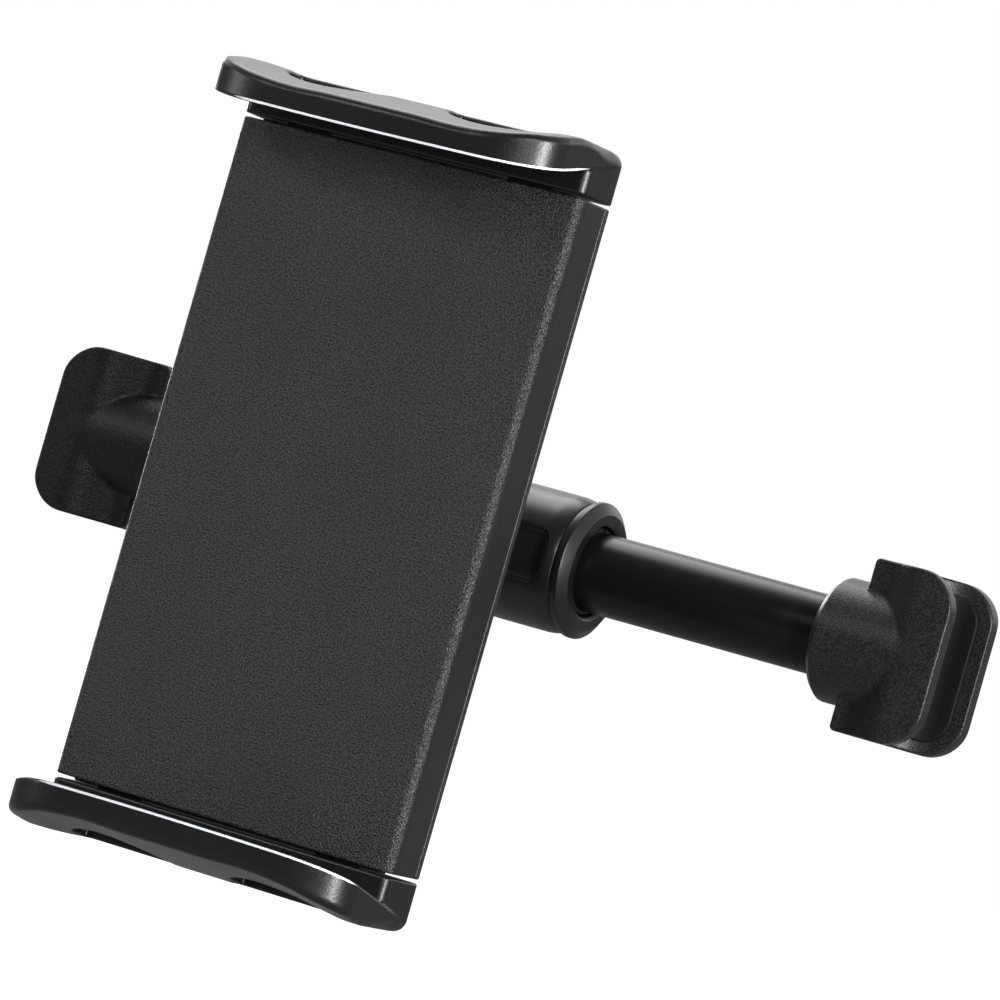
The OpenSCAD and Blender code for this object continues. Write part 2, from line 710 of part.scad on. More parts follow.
// Rubber pad under the shelf and down the lip
module jaw_pad() {
    half = holder_half - pad_side;
    outer = concat([[1, shelf]], [for (a = [0 : 10 : 60]) curl_point(a)]);
    color(rubber_black) at_holder() translate([-half, face_y, end_z]) mirror([0, 1, 0])
        rotate([90, 0, 90]) linear_extrude(2 * half)
            polygon(concat(outer, [for (i = [len(outer) - 1 : -1 : 0]) [outer[i][0], outer[i][1] - pad_t]]));
}

// Slide: two arms into the jaw, a cross bar and a lug for the spring
module slide_frame() {
    color(soft_black) at_holder() difference() {
        union() {
            for (i = [-1, 1]) translate([i * arm_x - arm_w / 2, arm_front, bar_z])
                cube([arm_w, arm_t, end_z + jaw_gap + tang_len - bar_z - 0.1]);
            translate([-arm_x, arm_front, bar_z]) cube([2 * arm_x, arm_t, bar_h]);
            drill_y(-spring_x, lug_z, 1.3, arm_back - 0.5, spring_y + 1.6);
        }
        for (i = [-1, 1]) drill_y(i * arm_x, jaw_screw_z, screw_r + 0.05, arm_front - 1, arm_back + 1);
    }
}

module jaw_screws() {
    color(steel) at_holder() for (i = [-1, 1])
        small_screw(i * arm_x, jaw_screw_z, back_y - 0.1, back_y - arm_front - 0.6);
}

// Point number i of a spring's wire: straight end, coils between, straight end
coil_low = -pin_z + 5;
coil_high = lug_z - 5;
coil_points = spring_turns * coil_steps;
function wire_point(i) = let (t = (i - 1) / coil_points, r = spring_r * ease(min(t, 1 - t) * spring_turns))
    i < 1 ? [0, 0, -pin_z + 1.7] : i > coil_points + 1 ? [0, 0, lug_z - 1.8]
    : [r * cos(t * spring_turns * 360), r * sin(t * spring_turns * 360),
        coil_low + (coil_high - coil_low) * t];

// One closed tube of a few sides along the wire's points
module wire_tube() {
    count = coil_points + 3;
    path = [for (i = [0 : count - 1]) wire_point(i)];
    dir = [for (i = [0 : count - 1]) let (d = path[min(i + 1, count - 1)] - path[max(i - 1, 0)]) d / norm(d)];
    rings = [for (i = [0 : count - 1], k = [0 : wire_sides - 1])
        let (s = cross([0, 0, 1], dir[i]), a = norm(s) < 0.05 ? [1, 0, 0] : s / norm(s), b = cross(dir[i], a),
            g = k * 360 / wire_sides) path[i] + wire_r * (cos(g) * a + sin(g) * b)];
    skin = [for (i = [0 : count - 2], k = [0 : wire_sides - 1])
        let (n = (k + 1) % wire_sides, a = i * wire_sides, b = a + wire_sides)
        each [[a + k, b + k, b + n], [a + k, b + n, a + n]]];
    ends = [[for (k = [0 : wire_sides - 1]) k],
        [for (k = [wire_sides - 1 : -1 : 0]) (count - 1) * wire_sides + k]];
    polyhedron(rings, concat(skin, ends));
}

module jaw_spring() { color(steel) at_holder() translate([-spring_x, spring_y, 0]) wire_tube(); }

module top_jaw() { jaw_body(); }
module top_jaw_pad() { jaw_pad(); }
module top_slider() { slide_frame(); }
module top_jaw_screws() { jaw_screws(); }
module top_spring() { jaw_spring(); }

// The lower half is the upper one turned half a turn about the joint's axis
module turned() { at_holder() rotate([0, 180, 0]) translate([-joint_x, 0, 0]) children(); }
module bottom_jaw() { turned() jaw_body(); }
module bottom_jaw_pad() { turned() jaw_pad(); }
module bottom_slider() { turned() slide_frame(); }
module bottom_jaw_screws() { turned() jaw_screws(); }
module bottom_spring() { turned() jaw_spring(); }

left_hook();
left_hook_liner();
left_hook_screw();
outer_sleeve();
clamp_collet();
ball_stud();
stud_lock_nut();
lock_collar();
collar_cap();
inner_rod();
rod_guide();
right_hook();
right_hook_liner();
right_hook_screw();
friction_cup();
clamp_nut();
socket_base();
socket_screws();
back_cover();
front_plate();
cover_screws();
spring_pins();
top_jaw();
top_jaw_pad();
top_slider();
top_jaw_screws();
top_spring();
bottom_jaw();
bottom_jaw_pad();
bottom_slider();
bottom_jaw_screws();
bottom_spring();
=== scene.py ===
import json
import math

import bmesh
import bpy
import numpy as np
from mathutils import Matrix, Vector


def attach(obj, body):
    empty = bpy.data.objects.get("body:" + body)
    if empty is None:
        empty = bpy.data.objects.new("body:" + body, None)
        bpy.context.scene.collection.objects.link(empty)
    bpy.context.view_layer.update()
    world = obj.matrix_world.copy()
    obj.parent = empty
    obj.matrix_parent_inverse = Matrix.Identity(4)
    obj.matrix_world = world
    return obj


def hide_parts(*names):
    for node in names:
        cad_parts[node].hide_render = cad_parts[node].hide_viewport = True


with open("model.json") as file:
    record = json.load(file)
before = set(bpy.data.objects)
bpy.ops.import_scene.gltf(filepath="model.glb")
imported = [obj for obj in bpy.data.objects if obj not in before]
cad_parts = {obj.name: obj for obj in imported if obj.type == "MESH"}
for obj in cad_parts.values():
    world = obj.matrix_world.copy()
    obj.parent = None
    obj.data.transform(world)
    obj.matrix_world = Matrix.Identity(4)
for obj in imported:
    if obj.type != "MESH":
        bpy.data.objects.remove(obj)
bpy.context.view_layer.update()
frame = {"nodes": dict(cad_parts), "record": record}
cadNodes = frame["nodes"]
mm = 0.001


# Where the camera stands: turned about the bar, tipped and rolled as in the photograph. Degrees; the offset is
# in millimetres, the focal length in sensor widths and the clip distances in metres
cameraView = {"yaw": 27.342, "pitch": -1.2, "roll": 15.917, "focal": 6.6977, "offset": (-75.16, -12.22, 1253.37),
              "sensor": 36, "clip": (0.05, 30)}


def placeCamera(view):
    def turn(axis, degrees):
        return np.array(Matrix.Rotation(math.radians(degrees), 3, axis))

    level = np.array([[1, 0, 0], [0, 0, -1], [0, 1, 0]])
    axes = turn("Z", view["roll"]) @ turn("X", view["pitch"]) @ turn("Y", view["yaw"]) @ level
    place = -axes.T @ np.array(view["offset"]) * mm
    data = bpy.data.cameras.new("photoCamera")
    data.sensor_width = view["sensor"]
    data.lens = view["focal"] * data.sensor_width
    data.clip_start, data.clip_end = view["clip"]
    camera = bpy.data.objects.new("photoCamera", data)
    bpy.context.scene.collection.objects.link(camera)
    matrix = np.eye(4)
    matrix[:3, :3] = np.array([axes[0], -axes[1], -axes[2]]).T
    matrix[:3, 3] = place
    camera.matrix_world = Matrix(matrix.tolist())
    bpy.context.scene.camera = camera


placeCamera(cameraView)
print("camera placed")


# Materials. Patterns read Object coordinates in metres, and each value is set on the shader's own socket
def addNode(owner, kind, inputs=None, **settings):
    node = owner.node_tree.nodes.new(kind)
    for key, value in settings.items():
        setattr(node, key, value)
    for key, value in (inputs or {}).items():
        node.inputs[key].default_value = value
    return node


def link(owner, fromNode, output, toNode, socket):
    owner.node_tree.links.new(fromNode.outputs[output], toNode.inputs[socket])


def newMaterial(name, roughness, specular=0.5, metallic=0.0):
    material = bpy.data.materials.new(name)
    material.use_nodes = True
    shader = material.node_tree.nodes["Principled BSDF"]
    shader.inputs["Roughness"].default_value = roughness
    shader.inputs["Specular IOR Level"].default_value = specular
    shader.inputs["Metallic"].default_value = metallic
    return material


def ramp(material, low, high, lowColour, highColour):
    node = addNode(material, "ShaderNodeValToRGB")
    node.color_ramp.elements[0].position = low
    node.color_ramp.elements[1].position = high
    node.color_ramp.elements[0].color = (*lowColour, 1)
    node.color_ramp.elements[1].color = (*highColour, 1)
    return node


# Moulded plastic: a faint cloudy tone, a fine grain, and where it is textured a pebbled skin with painted shade in
# its hollows and painted highlights on its raised tops. What all of them share: the cloud with its sway of tone and
# gloss, the noise values between which the skin's painted light goes from dark to light, and how it fades behind the
# front, over how many millimetres and to which share of bump and tone; the tone behind the front is painted shade on
# the sides
moulding = {"cloud": 45.0, "darker": 0.9, "lighter": 1.1, "glossSway": 0.04, "tint": (1.0, 1.02, 1.06),
            "skinLow": 0.41, "skinHigh": 0.59, "fadeOver": 0.5, "fadedBump": 0.04, "sideShadeTone": 0.45}


def mouldedPlastic(name, tone, roughness, grainSize, grainDepth, leather=0.0, leatherSize=0.8, paintedLightContrast=0.0,
                   specular=0.5, frontOnly=None):
    m = moulding
    material = newMaterial(name, roughness, specular)
    shader = material.node_tree.nodes["Principled BSDF"]
    where = addNode(material, "ShaderNodeTexCoord")
    cloud = addNode(material, "ShaderNodeTexNoise", {"Scale": m["cloud"], "Detail": 3.0})
    link(material, where, "Object", cloud, "Vector")
    colour = ramp(material, 0.3, 0.7, [tone * m["darker"] * t for t in m["tint"]],
                  [tone * m["lighter"] * t for t in m["tint"]])
    link(material, cloud, "Fac", colour, "Fac")
    link(material, colour, "Color", shader, "Base Color")
    gloss = addNode(material, "ShaderNodeMapRange", {"To Min": roughness - m["glossSway"],
                                                     "To Max": roughness + m["glossSway"]})
    link(material, cloud, "Fac", gloss, "Value")
    link(material, gloss, "Result", shader, "Roughness")
    grain = addNode(material, "ShaderNodeTexNoise", {"Scale": 1 / (grainSize * mm), "Detail": 3.0, "Roughness": 0.6})
    link(material, where, "Object", grain, "Vector")
    bump = addNode(material, "ShaderNodeBump", {"Strength": 1.0, "Distance": grainDepth * mm})
    link(material, grain, "Fac", bump, "Height")
    if leather > 0:
        cells = addNode(material, "ShaderNodeTexNoise", {"Scale": 1 / (leatherSize * mm), "Detail": 1.0,
                                                         "Roughness": 0.5})
        link(material, where, "Object", cells, "Vector")
        pebble = addNode(material, "ShaderNodeBump", {"Strength": 1.0, "Distance": leather * mm})
        height = cells
        if frontOnly is not None:
            # the skin fades out behind this plane, given in millimetres along Y
            axis = addNode(material, "ShaderNodeSeparateXYZ")
            link(material, where, "Object", axis, "Vector")
            fade = addNode(material, "ShaderNodeMapRange", {"From Min": (frontOnly - m["fadeOver"]) * mm,
                                                            "From Max": frontOnly * mm, "To Min": 1.0,
                                                            "To Max": m["fadedBump"]})
            link(material, axis, "Y", fade, "Value")
            height = addNode(material, "ShaderNodeMath", operation="MULTIPLY")
            link(material, cells, "Fac", height, 0)
            link(material, fade, "Result", height, 1)
        link(material, height, 0, pebble, "Height")
        link(material, bump, "Normal", pebble, "Normal")
        bump = pebble
        # painted shade and highlights of the skin: base colour darker in the hollows, lighter on the raised tops
        shade = addNode(material, "ShaderNodeMapRange", {"From Min": m["skinLow"], "From Max": m["skinHigh"],
                                                         "To Min": 1 - paintedLightContrast, "To Max": 1 + paintedLightContrast})
        link(material, cells, "Fac", shade, "Value")
        # behind the front the colour drops to a fixed darker tone: painted shade on the sides
        if frontOnly is not None:
            withSideShade = addNode(material, "ShaderNodeMix", {"A": m["sideShadeTone"]})
            link(material, fade, "Result", withSideShade, "Factor")
            link(material, shade, "Result", withSideShade, "B")
            shade = withSideShade
        toned = addNode(material, "ShaderNodeVectorMath", operation="SCALE")
        link(material, colour, "Color", toned, 0)
        link(material, shade, 0, toned, "Scale")
        link(material, toned, 0, shader, "Base Color")
    link(material, bump, "Normal", shader, "Normal")
    return material


def turnedSteel(name, tone, roughness):
    material = newMaterial(name, roughness, metallic=1.0)
    shader = material.node_tree.nodes["Principled BSDF"]
    where = addNode(material, "ShaderNodeTexCoord")
    streaks = addNode(material, "ShaderNodeTexNoise", {"Scale": 900.0, "Detail": 3.0})
    link(material, where, "Object", streaks, "Vector")
    colour = ramp(material, 0.3, 0.7, [tone * 0.85] * 3, [tone * 1.05] * 3)
    link(material, streaks, "Fac", colour, "Fac")
    link(material, colour, "Color", shader, "Base Color")
    bump = addNode(material, "ShaderNodeBump", {"Strength": 0.4, "Distance": 0.01 * mm})
    link(material, streaks, "Fac", bump, "Height")
    link(material, bump, "Normal", shader, "Normal")
    return material


finishes = {
    "grained_plastic": mouldedPlastic("grained_plastic", 0.022, 0.37, 0.2, 0.01, leather=0.3, leatherSize=0.32,
                                      paintedLightContrast=0.95, frontOnly=-60.9),
    "jaw_plastic": mouldedPlastic("jaw_plastic", 0.007, 0.32, 0.3, 0.003, leather=0.025, leatherSize=0.45),
    "cover_plastic": mouldedPlastic("cover_plastic", 0.012, 0.42, 0.3, 0.008, leather=0.06, leatherSize=0.4,
                                    paintedLightContrast=0.3),
    "hook_plastic": mouldedPlastic("hook_plastic", 0.013, 0.38, 0.3, 0.003, leather=0.06, leatherSize=0.3,
                                   paintedLightContrast=0.6, specular=0.4),
    "bar_plastic": mouldedPlastic("bar_plastic", 0.006, 0.33, 0.3, 0.003, leather=0.012, leatherSize=0.42),
    "rod_paint": mouldedPlastic("rod_paint", 0.005, 0.3, 0.2, 0.002, specular=0.28),
    "inner_plastic": mouldedPlastic("inner_plastic", 0.006, 0.5, 0.3, 0.004, specular=0.3),
    "liner_rubber": mouldedPlastic("liner_rubber", 0.004, 0.6, 0.3, 0.006, specular=0.2),
    # near-white finish of the lip bead: a painted highlight line
    "highlight_bead_plastic": mouldedPlastic("highlight_bead_plastic", 0.85, 0.35, 0.3, 0.0),
    "pad_rubber": mouldedPlastic("pad_rubber", 0.006, 0.65, 0.3, 0.006, specular=0.3),
    "stud_steel": turnedSteel("stud_steel", 0.2, 0.3),
    "screw_steel": turnedSteel("screw_steel", 0.15, 0.35),
    "spring_steel": turnedSteel("spring_steel", 0.5, 0.3),
}
print("materials made:", len(finishes))


# Fields: negative inside, in millimetres. Two fields meet with a rounded edge or a filled corner of radius r
def bothInside(a, b, r):
    return np.minimum(-r, np.maximum(a, b)) + np.hypot(np.maximum(a + r, 0), np.maximum(b + r, 0))


def eitherInside(a, b, r):
    return np.maximum(r, np.minimum(a, b)) - np.hypot(np.maximum(r - a, 0), np.maximum(r - b, 0))


def ellipseField(a, b, semiA, semiB):
    # distance to an ellipse's quarter, to first order; straight sides where either coordinate is negative
    near = np.hypot(a / semiA, b / semiB)
    slope = np.hypot(a / semiA**2, b / semiB**2)
    quarter = near * (near - 1) / np.maximum(slope, 1e-6)
    return np.where((a > 0) & (b > 0), quarter, np.maximum(a - semiA, b - semiB))


def ease(t):
    t = np.clip(t, 0, 1)
    return t * t * (3 - 2 * t)


# Surface where a field is zero: a point in each grid cell that the surface crosses, at the mean of the crossings on
# the cell's edges, moved down the field's slope onto the surface; a quad round each grid edge that it crosses.
# The normals are the field's slope. The axes may be uneven: fine where the form bends, coarse where it is straight.
def levelSurface(field, axes):
    grid = np.meshgrid(*axes, indexing="ij")
    value = field(*grid)
    inside = value < 0
    size = value.shape
    cells = tuple(n - 1 for n in size)
    corners = [(i, j, k) for i in (0, 1) for j in (0, 1) for k in (0, 1)]

    def corner(array, c):
        return array[c[0]:c[0] + cells[0], c[1]:c[1] + cells[1], c[2]:c[2] + cells[2]]

    count = sum(corner(inside, c).astype(np.int8) for c in corners)
    active = (count > 0) & (count < 8)
    index = np.full(cells, -1, np.int64)
    index[active] = np.arange(active.sum())
    place = np.zeros((active.sum(), 3))
    hits = np.zeros(active.sum())
    cellAt = np.argwhere(active)
    for a in corners:
        for axis in range(3):
            if a[axis]:
                continue
            b = tuple(c + (n == axis) for n, c in enumerate(a))
            va = corner(value, a)[active]
            vb = corner(value, b)[active]
            crossed = (va < 0) != (vb < 0)
            share = np.where(crossed, va / np.where(crossed, va - vb, 1), 0)
            point = (cellAt + np.array(a)).astype(float)
            point[:, axis] += share
            place += point * crossed[:, None]
            hits += crossed
    place = place / hits[:, None]
    cell = np.stack([np.diff(a)[cellAt[:, n]] for n, a in enumerate(axes)], 1)
    place = np.stack([np.interp(place[:, n], np.arange(len(a)), a) for n, a in enumerate(axes)], 1)

    def slope(points):
        e = 0.02
        out = np.empty_like(points)
        for axis in range(3):
            shift = np.zeros(3)
            shift[axis] = e
            out[:, axis] = (field(*(points + shift).T) - field(*(points - shift).T)) / (2 * e)
        return out

    start = place.copy()
    for _ in range(4):
        g = slope(place)
        move = field(*place.T)[:, None] * g / np.maximum((g * g).sum(1), 0.05)[:, None]
        place = place - np.clip(move, -0.3 * cell, 0.3 * cell)
    place = start + np.clip(place - start, -0.7 * cell, 0.7 * cell)
    normal = slope(place)
    normal /= np.maximum(np.linalg.norm(normal, axis=1, keepdims=True), 1e-9)

    quads = []
    for axis in range(3):
        u, v = (axis + 1) % 3, (axis + 2) % 3
        here = [slice(0, n) for n in size]
        here[axis] = slice(0, size[axis] - 1)
        there = list(here)
        there[axis] = slice(1, size[axis])
        first, second = inside[tuple(here)], inside[tuple(there)]
        at = np.argwhere(first != second)
        keep = (at[:, u] > 0) & (at[:, u] < cells[u]) & (at[:, v] > 0) & (at[:, v] < cells[v])
        at = at[keep]
        outward = first[tuple(at.T)]
        ring = []
        for du, dv in ((-1, -1), (0, -1), (0, 0), (-1, 0)):
            p = at.copy()
            p[:, u] += du
            p[:, v] += dv
            ring.append(index[tuple(p.T)])
        ring = np.stack(ring, 1)
        ring[~outward] = ring[~outward][:, ::-1]
        quads.append(ring)
    return place, np.concatenate(quads), normal


# Positions along one axis: small steps inside the fine stretches, large ones between them
def positions(low, high, fineStep, coarseStep, *fine):
    at, out = low - 1.5 * fineStep, []
    while at < high + 1.5 * fineStep:
        out.append(at)
        step = fineStep
        if not any(a <= at <= b for a, b in fine):
            ahead = [a - at for a, b in fine if a > at]
            step = min([coarseStep] + ahead)
        at += max(step, fineStep)
    return np.array(out + [at])


def evenly(low, high, step):
    return np.arange(low - 1.5 * step, high + 2.5 * step, step)


def addPiece(name, mesh, body, slot, replaces, finish=None):
    piece = bpy.data.objects.new(name, mesh)
    bpy.context.scene.collection.objects.link(piece)
    mesh.materials.append(finishes[finish or slot])
    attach(piece, body)
    if replaces:
        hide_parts(*replaces)
    print(name, "faces:", len(mesh.polygons))


def meshPiece(name, points, faces, normals, body, slot, replaces=(), smooth=True, finish=None):
    mesh = bpy.data.meshes.new(name)
    mesh.from_pydata((np.asarray(points) * mm).tolist(), [], np.asarray(faces).tolist())
    mesh.polygons.foreach_set("use_smooth", np.full(len(mesh.polygons), smooth))
    if normals is not None:
        mesh.normals_split_custom_set_from_vertices(np.asarray(normals).tolist())
    mesh.update()
    addPiece(name, mesh, body, slot, replaces, finish)


# Holder: the measures that several pieces share, in millimetres
holder = {"middleX": 82.0, "faceY": -62.4, "backY": -50.0, "half": 35.0, "end": 60.0, "sideRx": 1.9, "sideRy": 2.6,
          "backRound": 2.5, "seam": 9.2, "seamGap": 0.04, "seamEdge": 0.3, "endEdge": 0.35, "wall": 2.0}
# The back cover's own: "At" and "Depth" run back from the plate's face, "In" runs inwards from the side or the end
cover = {"hollowIn": 0.4, "hollowDepth": 10.4, "plugIn": 1, "plugAt": 6.2, "plugHalf": 4.0, "plugThick": 1,
         "ridgeIn": 3.4, "ridgeAt": 3.4, "ridgeHalf": 1.2, "ridgeOut": 0.1, "ridgeThick": 0.35, "armX": 22.5,
         "armHalf": 4.3, "armAt": 3.3, "armThick": 1.4, "armIn": 3, "screwX": 30.5, "screwZ": 48, "screwR": 2.4,
         "screwDepth": 11.2}


def holderSection(x, f, inset=0.0):
    # rounded front sides, back edges rounded; f is measured forward from the plate's face
    h = holder
    depth = h["backY"] - h["faceY"]
    rx, ry = max(h["sideRx"] - inset, 0.3), max(h["sideRy"] - inset, 0.3)
    front = ellipseField(np.abs(x) - (h["half"] - inset - rx), f + inset + ry, rx, ry)
    return np.maximum(front, bothInside(np.abs(x) - h["half"] + inset, -depth - f, h["backRound"]))


def plateField(x, y, z):
    h = holder
    x, f = x - h["middleX"], h["faceY"] - y
    body = bothInside(holderSection(x, f), np.abs(z) - h["end"], h["endEdge"])
    body = bothInside(body, -h["seam"] + h["seamGap"] - f, h["seamEdge"])
    return bothInside(body, -holderSection(x, f, h["wall"]), 0.2)


def coverField(x, y, z):
    h, c = holder, cover
    x, f = x - h["middleX"], h["faceY"] - y
    ax, az = np.abs(x), np.abs(z)
    slab = bothInside(holderSection(x, f), az - h["end"], h["endEdge"])
    slab = bothInside(slab, f + h["seam"] + h["seamGap"], h["seamEdge"])
    hollow = np.maximum(np.maximum(ax - h["half"] + h["wall"] + c["hollowIn"], az - h["end"] + h["wall"]),
                        -c["hollowDepth"] - f)
    slab = bothInside(slab, -hollow, 0.3)
    ends = np.maximum(np.maximum(ax - h["half"] + h["wall"] + c["plugIn"], np.abs(f + c["plugAt"]) - c["plugHalf"]),
                      np.abs(az - h["end"] + c["plugThick"]) - c["plugThick"])
    ridge = np.maximum(np.maximum(ax - h["half"] + c["ridgeIn"], np.abs(f + c["ridgeAt"]) - c["ridgeHalf"]),
                       np.abs(az - h["end"] - c["ridgeOut"]) - c["ridgeThick"])
    body = np.minimum(slab, np.minimum(ends, ridge))
    arms = np.maximum(np.abs(ax - c["armX"]) - c["armHalf"], np.abs(f + c["armAt"]) - c["armThick"])
    body = bothInside(body, -np.maximum(arms, h["end"] - c["armIn"] - az), 0.2)
    screws = np.maximum(np.hypot(ax - c["screwX"], az - c["screwZ"]) - c["screwR"], f + c["screwDepth"])
    return bothInside(body, -screws, 0.25)


# Grid of a shell: fine at its edges, and for the cover also at the arms' openings and the screws
def shellAxes(isCover):
    h, c = holder, cover
    left, right = h["middleX"] - h["half"], h["middleX"] + h["half"]
    xs = [(left - 1, left + 4), (right - 4, right + 1)]
    zs = [(-h["end"] - 1, -h["end"] + 3), (h["end"] - 3, h["end"] + 1)]
    if isCover:
        xs += [(h["middleX"] + s * c["armX"] - 5, h["middleX"] + s * c["armX"] + 5) for s in (-1, 1)]
        xs += [(h["middleX"] + s * c["screwX"] - 3, h["middleX"] + s * c["screwX"] + 3) for s in (-1, 1)]
        zs += [(s * c["screwZ"] - 3, s * c["screwZ"] + 3) for s in (-1, 1)]
    return [positions(left, right, 0.35, 2.5, *xs), evenly(h["faceY"], h["backY"], 0.3),
            positions(-h["end"] - 0.5, h["end"] + 0.5, 0.35, 3.0, *zs)]


meshPiece("front_shell", *levelSurface(plateField, shellAxes(False)), "holder", "grained_plastic", ("front_plate",))
meshPiece("back_shell", *levelSurface(coverField, shellAxes(True)), "holder", "cover_plastic", ("back_cover",))


# Jaws: a base bar with the holder's section, and a wall that leans over the device's edge
jaw = {"gap": 0.7, "height": 9.5, "reach": 19.5, "crown": 0.8, "cornerW": 15.0, "cornerD": 9.0, "lipEdge": 0.9,
       "lipThick": 2.2, "shelf": 5.0, "slope": 0.219, "backSlope": 0.24, "wallBack": 9.0, "drawnIn": 0.3,
       "curlStart": 6.0, "curlDrop": 0.6, "ridge": 6.0, "rise": 1.0, "riseX": 19, "riseOver": 15, "dip": 0.25,
       "dipX": 16.0, "dipW": 5.0, "crest": -2.5, "crestShift": 5, "crestX": 23, "crestOver": 10, "edge": 1.3,
       "round": 2.4, "scoopX": 16.4, "scoopR": 11.2, "scoopReach": 14.5, "scoopBack": -4.5, "scoopDepth": 2.4,
       "step": 0.4}


def lipPlan(x, f, inset=0.0):
    # seen from above: straight sides, large oval corners and a crowned front
    j = jaw
    ax = np.abs(x)
    midX, midF = holder["half"] - j["cornerW"], j["reach"] - j["crown"] - j["cornerD"]
    bulge = j["crown"] * (1 - (np.minimum(ax, midX) / midX) ** 2)
    return ellipseField(ax - midX, f - midF - bulge, j["cornerW"] - inset, j["cornerD"] - inset)


def outerHeight(x, f):
    # the outer face slopes from the crest to the ridge over the lip; the ridge dips on both sides of the middle,
    # and near the ends the crest reaches further forward
    j = jaw
    ax = np.abs(x)
    ridge = (j["ridge"] - j["dip"] * np.exp(-((ax - j["dipX"]) / j["dipW"]) ** 2)
             + j["rise"] * ease((ax - j["riseX"]) / j["riseOver"]))
    start = j["crest"] + j["crestShift"] * ease((ax - j["crestX"]) / j["crestOver"])
    t = np.clip((f - start) / (j["reach"] - 1.2 - start), 0, 1.2)
    bend = np.where(t < 0.3, t * t / 0.6, t - 0.15) / 0.85
    return j["height"] + 0.25 * ease((ax - 25) / 6) - (j["height"] - ridge) * bend


def jawField(side):
    def field(x, y, z):
        j = jaw
        x = x - holder["middleX"]
        f = holder["faceY"] - y
        h = side * z - holder["end"]
        ax = np.abs(x)
        drawn = j["drawnIn"] * ease((f + j["wallBack"]) / 7)
        base = np.maximum(holderSection(x, f), ax - holder["half"] + drawn)
        base = bothInside(base, j["gap"] - h, 0.35)
        level = h - j["shelf"]
        under = np.where(f < 0, level + j["backSlope"] * f, level + j["slope"] * f) / 1.025
        wall = bothInside(lipPlan(x, f), -under, 0.6)
        wall = np.maximum(wall, -j["wallBack"] - f)
        curlEnd = j["reach"] - j["lipThick"]
        curl = ellipseField(f - j["curlStart"], h - j["lipEdge"] + j["curlDrop"], curlEnd - j["curlStart"],
                            j["shelf"] - j["lipEdge"] + j["curlDrop"])
        hollow = np.maximum(np.where(f < 0, level, curl), lipPlan(x, f, j["lipThick"]))
        wall = bothInside(wall, -hollow, 0.5)
        body = eitherInside(base, wall, 0.2 + 0.3 * ease((f + 4) / 2) * ease((33.5 - ax) / 2.5))
        top = (h - outerHeight(x, f)) / 1.02
        body = bothInside(body, top, j["edge"] + (j["round"] - j["edge"]) * ease((2 - f) / 8))
        for centre in (-j["scoopX"], j["scoopX"]):
            moon = ellipseField(np.abs(x - centre), f - j["scoopBack"], j["scoopR"], j["scoopReach"])
            moon = bothInside(moon, j["scoopBack"] - f, 0.7)
            moon = bothInside(moon, j["height"] - j["scoopDepth"] - h, 0.9)
            body = bothInside(body, -moon, 0.45)
        return body
    return field


def makeJaw(name, node, body, side):
    zs = sorted((side * (holder["end"] + 0.2), side * (holder["end"] + jaw["height"] + 0.6)))
    axes = [evenly(holder["middleX"] - holder["half"], holder["middleX"] + holder["half"], jaw["step"] * 1.15),
            evenly(holder["faceY"] - jaw["reach"], holder["backY"], jaw["step"]), evenly(*zs, jaw["step"] * 0.85)]
    meshPiece(name, *levelSurface(jawField(side), axes), body, "jaw_plastic", (node,))


makeJaw("upper_jaw_shell", "top_jaw", "upper_jaw", 1)
makeJaw("lower_jaw_shell", "bottom_jaw", "lower_jaw", -1)


# Thin near-white bead along the lip's inner edge, a painted highlight line: a four-sided tube along the plan's front,
# from the left corner round the right one and back along the side to where it stops
def makeHighlightBead(name, body, side, stop):
    j = jaw
    midX, midF = holder["half"] - j["cornerW"], j["reach"] - j["crown"] - j["cornerD"]
    turn = np.radians(np.linspace(0, 90, 24))
    straight = np.arange(stop, midF - 0.5, 1.5)
    straight = np.stack([np.full(len(straight), holder["half"]), straight], 1)
    corner = np.stack([midX + j["cornerW"] * np.cos(turn), midF + j["cornerD"] * np.sin(turn)], 1)
    xs = np.linspace(midX, 0, 9)[1:]
    front = np.stack([xs, j["reach"] - j["crown"] * (xs / midX) ** 2], 1)
    right = np.concatenate([corner, front])
    path = np.concatenate([straight, right, right[-2::-1] * [-1, 1]])
    path = path[(path[:, 0] > -27) & (path[:, 1] > stop - 0.1)]
    along = np.gradient(path, axis=0)
    along /= np.linalg.norm(along, axis=1, keepdims=True)
    out = np.stack([along[:, 1], -along[:, 0]], 1)
    height = j["shelf"] - j["slope"] * path[:, 1] + 0.42
    end = np.minimum(1, np.minimum(np.arange(len(path)), np.arange(len(path))[::-1]) / 3)
    rings = []
    for du, dh in ((0.08, -0.2), (0.08, 0.2), (-0.5, 0.2), (-0.5, -0.2)):
        p = path + out * du
        rings.append(np.stack([p[:, 0] + holder["middleX"], holder["faceY"] - p[:, 1],
                               side * (holder["end"] + height + dh * end)], 1))
    points = np.stack(rings, 1).reshape(-1, 3)
    n = len(path)
    faces = [[4 * i + k, 4 * i + (k + 1) % 4, 4 * i + 4 + (k + 1) % 4, 4 * i + 4 + k]
             for i in range(n - 1) for k in range(4)]
    faces += [[3, 2, 1, 0], [4 * n - 4, 4 * n - 3, 4 * n - 2, 4 * n - 1]]
    if side > 0:
        faces = [f[::-1] for f in faces]
    meshPiece(name, points, faces, None, body, "jaw_plastic", smooth=False, finish="highlight_bead_plastic")


makeHighlightBead("upper_lip_highlight_bead", "upper_jaw", 1, 0.8)
makeHighlightBead("lower_lip_highlight_bead", "lower_jaw", -1, 11.0)


